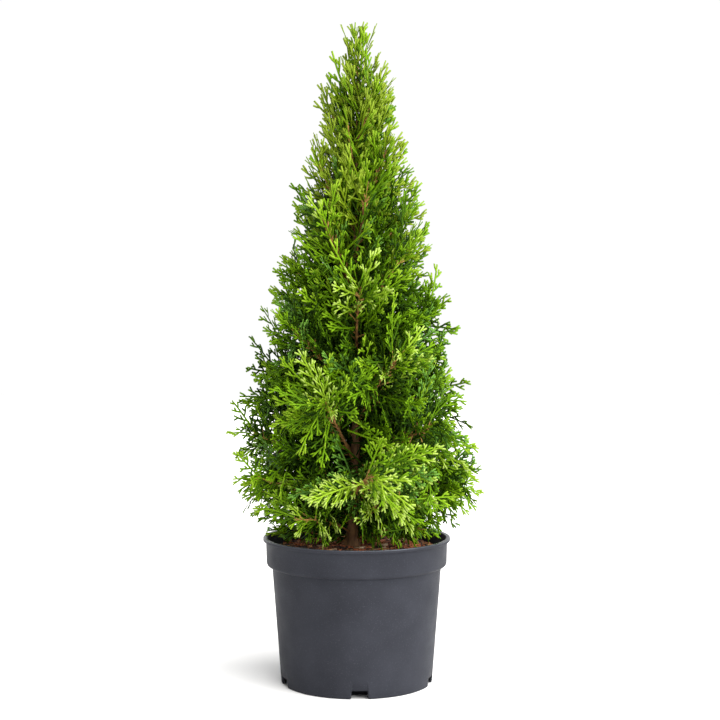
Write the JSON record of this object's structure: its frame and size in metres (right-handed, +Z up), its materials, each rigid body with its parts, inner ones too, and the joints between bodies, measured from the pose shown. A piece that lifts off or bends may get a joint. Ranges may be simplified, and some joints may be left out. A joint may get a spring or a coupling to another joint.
{
  "type": "potted thuja",
  "caption": "Young conical thuja with flat, fern-like evergreen sprays round a straight trunk, in a round dark grey nursery pot.",
  "frame": {"origin": "on the ground under the middle of the pot", "axes": "+Z up along the trunk, -Y towards the plant's front, +X to the right as seen from the front"},
  "size_m": [0.2701, 0.2635, 0.6698],
  "materials": {
    "pot": "moulded dark grey polypropylene with a soft sheen",
    "soil": "coarse peat and bark compost, damp",
    "bark": "thin, stringy, reddish brown bark",
    "foliage": "scale-leaved evergreen sprays, waxy mid green with yellow-green tips"
  },
  "bodies": {
    "root": {"pot": "pot", "soil": "soil", "trunk": "bark", "bough_01": "bark", "bough_02": "bark", "bough_03": "bark", "bough_04": "bark", "bough_05": "bark", "bough_06": "bark", "bough_07": "bark", "bough_08": "bark", "bough_09": "bark", "bough_10": "bark", "bough_11": "bark", "bough_12": "bark", "bough_13": "bark", "bough_14": "bark", "bough_15": "bark", "bough_16": "bark", "bough_17": "bark", "bough_18": "bark", "bough_19": "bark", "bough_20": "bark", "bough_21": "bark", "bough_22": "bark", "bough_23": "bark", "bough_24": "bark", "foliage_01": "foliage", "foliage_02": "foliage", "foliage_03": "foliage", "foliage_04": "foliage", "foliage_05": "foliage", "foliage_06": "foliage", "foliage_07": "foliage", "foliage_08": "foliage", "foliage_09": "foliage", "foliage_10": "foliage", "foliage_11": "foliage", "foliage_12": "foliage", "foliage_13": "foliage", "foliage_14": "foliage", "foliage_15": "foliage", "foliage_16": "foliage", "foliage_17": "foliage", "foliage_18": "foliage", "foliage_19": "foliage", "foliage_20": "foliage", "foliage_21": "foliage", "foliage_22": "foliage", "foliage_23": "foliage", "foliage_24": "foliage", "foliage_25": "foliage", "foliage_26": "foliage", "foliage_27": "foliage", "foliage_28": "foliage", "foliage_29": "foliage", "foliage_30": "foliage", "foliage_31": "foliage", "foliage_32": "foliage", "foliage_leader": "foliage"}
  },
  "joints": []
}
